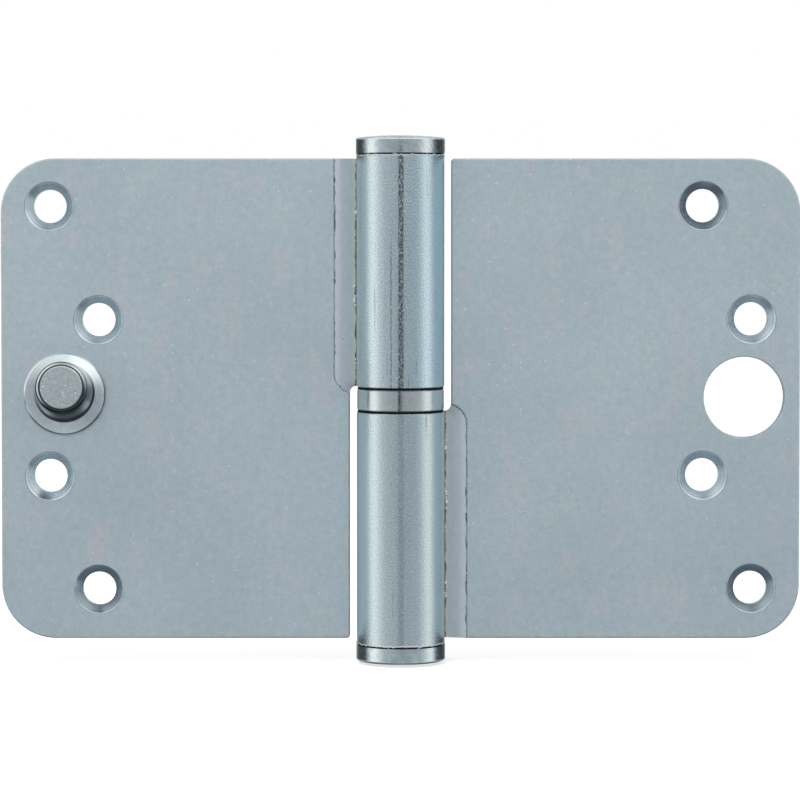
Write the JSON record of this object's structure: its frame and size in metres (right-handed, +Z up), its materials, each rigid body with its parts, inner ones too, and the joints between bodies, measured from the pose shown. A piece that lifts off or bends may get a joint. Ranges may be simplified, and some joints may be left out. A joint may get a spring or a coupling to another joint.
{
  "type": "ball bearing lift-off hinge",
  "caption": "Flat steel lift-off butt hinge with rolled knuckles, a thrust ball bearing between them, countersunk screw holes and a locking stud.",
  "frame": {"origin": "on the pin's axis at mid height, lying open flat", "axes": "+Z up the pin, +X towards the frame leaf with the stud's hole, -Y to the side on which the knuckles stand proud"},
  "size_m": [0.148, 0.0164, 0.0974],
  "materials": {
    "leaf_zinc": "bright bluish zinc plating on cold rolled sheet, satin, faint iridescence",
    "cap_zinc": "zinc plated turned steel, smoother and brighter than the leaves",
    "casing_zinc": "zinc plated drawn ring, smooth satin",
    "stud_zinc": "zinc plated turned steel with a mottled flat tip",
    "pin_steel": "ground steel, lightly oiled",
    "race_steel": "hardened steel, fine turned",
    "cage_steel": "pressed steel strip, greased",
    "ball_steel": "polished bearing steel"
  },
  "bodies": {
    "frame_side": {"frame_leaf": "leaf_zinc", "hinge_pin": "pin_steel", "bottom_cap": "cap_zinc", "lower_race": "race_steel", "bearing_casing": "casing_zinc"},
    "ball_set": {"ball_cage": "cage_steel", "bearing_ball_01": "ball_steel", "bearing_ball_02": "ball_steel", "bearing_ball_03": "ball_steel", "bearing_ball_04": "ball_steel", "bearing_ball_05": "ball_steel", "bearing_ball_06": "ball_steel", "bearing_ball_07": "ball_steel", "bearing_ball_08": "ball_steel", "bearing_ball_09": "ball_steel", "bearing_ball_10": "ball_steel", "bearing_ball_11": "ball_steel", "bearing_ball_12": "ball_steel"},
    "turning_race": {"upper_race": "race_steel"},
    "door_side": {"door_leaf": "leaf_zinc", "top_cap": "cap_zinc", "security_stud": "stud_zinc"}
  },
  "joints": [
    {"name": "door_swing", "type": "hinge", "parent": "frame_side", "child": "turning_race", "pos_m": [0, 0, 0], "axis": [0, 0, 1], "range_deg": [-115, 180]},
    {"name": "ball_roll", "type": "hinge", "parent": "frame_side", "child": "ball_set", "pos_m": [0, 0, 0], "axis": [0, 0, 1], "range_deg": [-57.5, 90]},
    {"name": "lift_off", "type": "slide", "parent": "turning_race", "child": "door_side", "axis": [0, 0, 1], "range_m": [0, 0.055]}
  ],
  "couplings": [
    {"joint": "ball_roll", "follows": "door_swing", "ratio": 0.5}
  ]
}
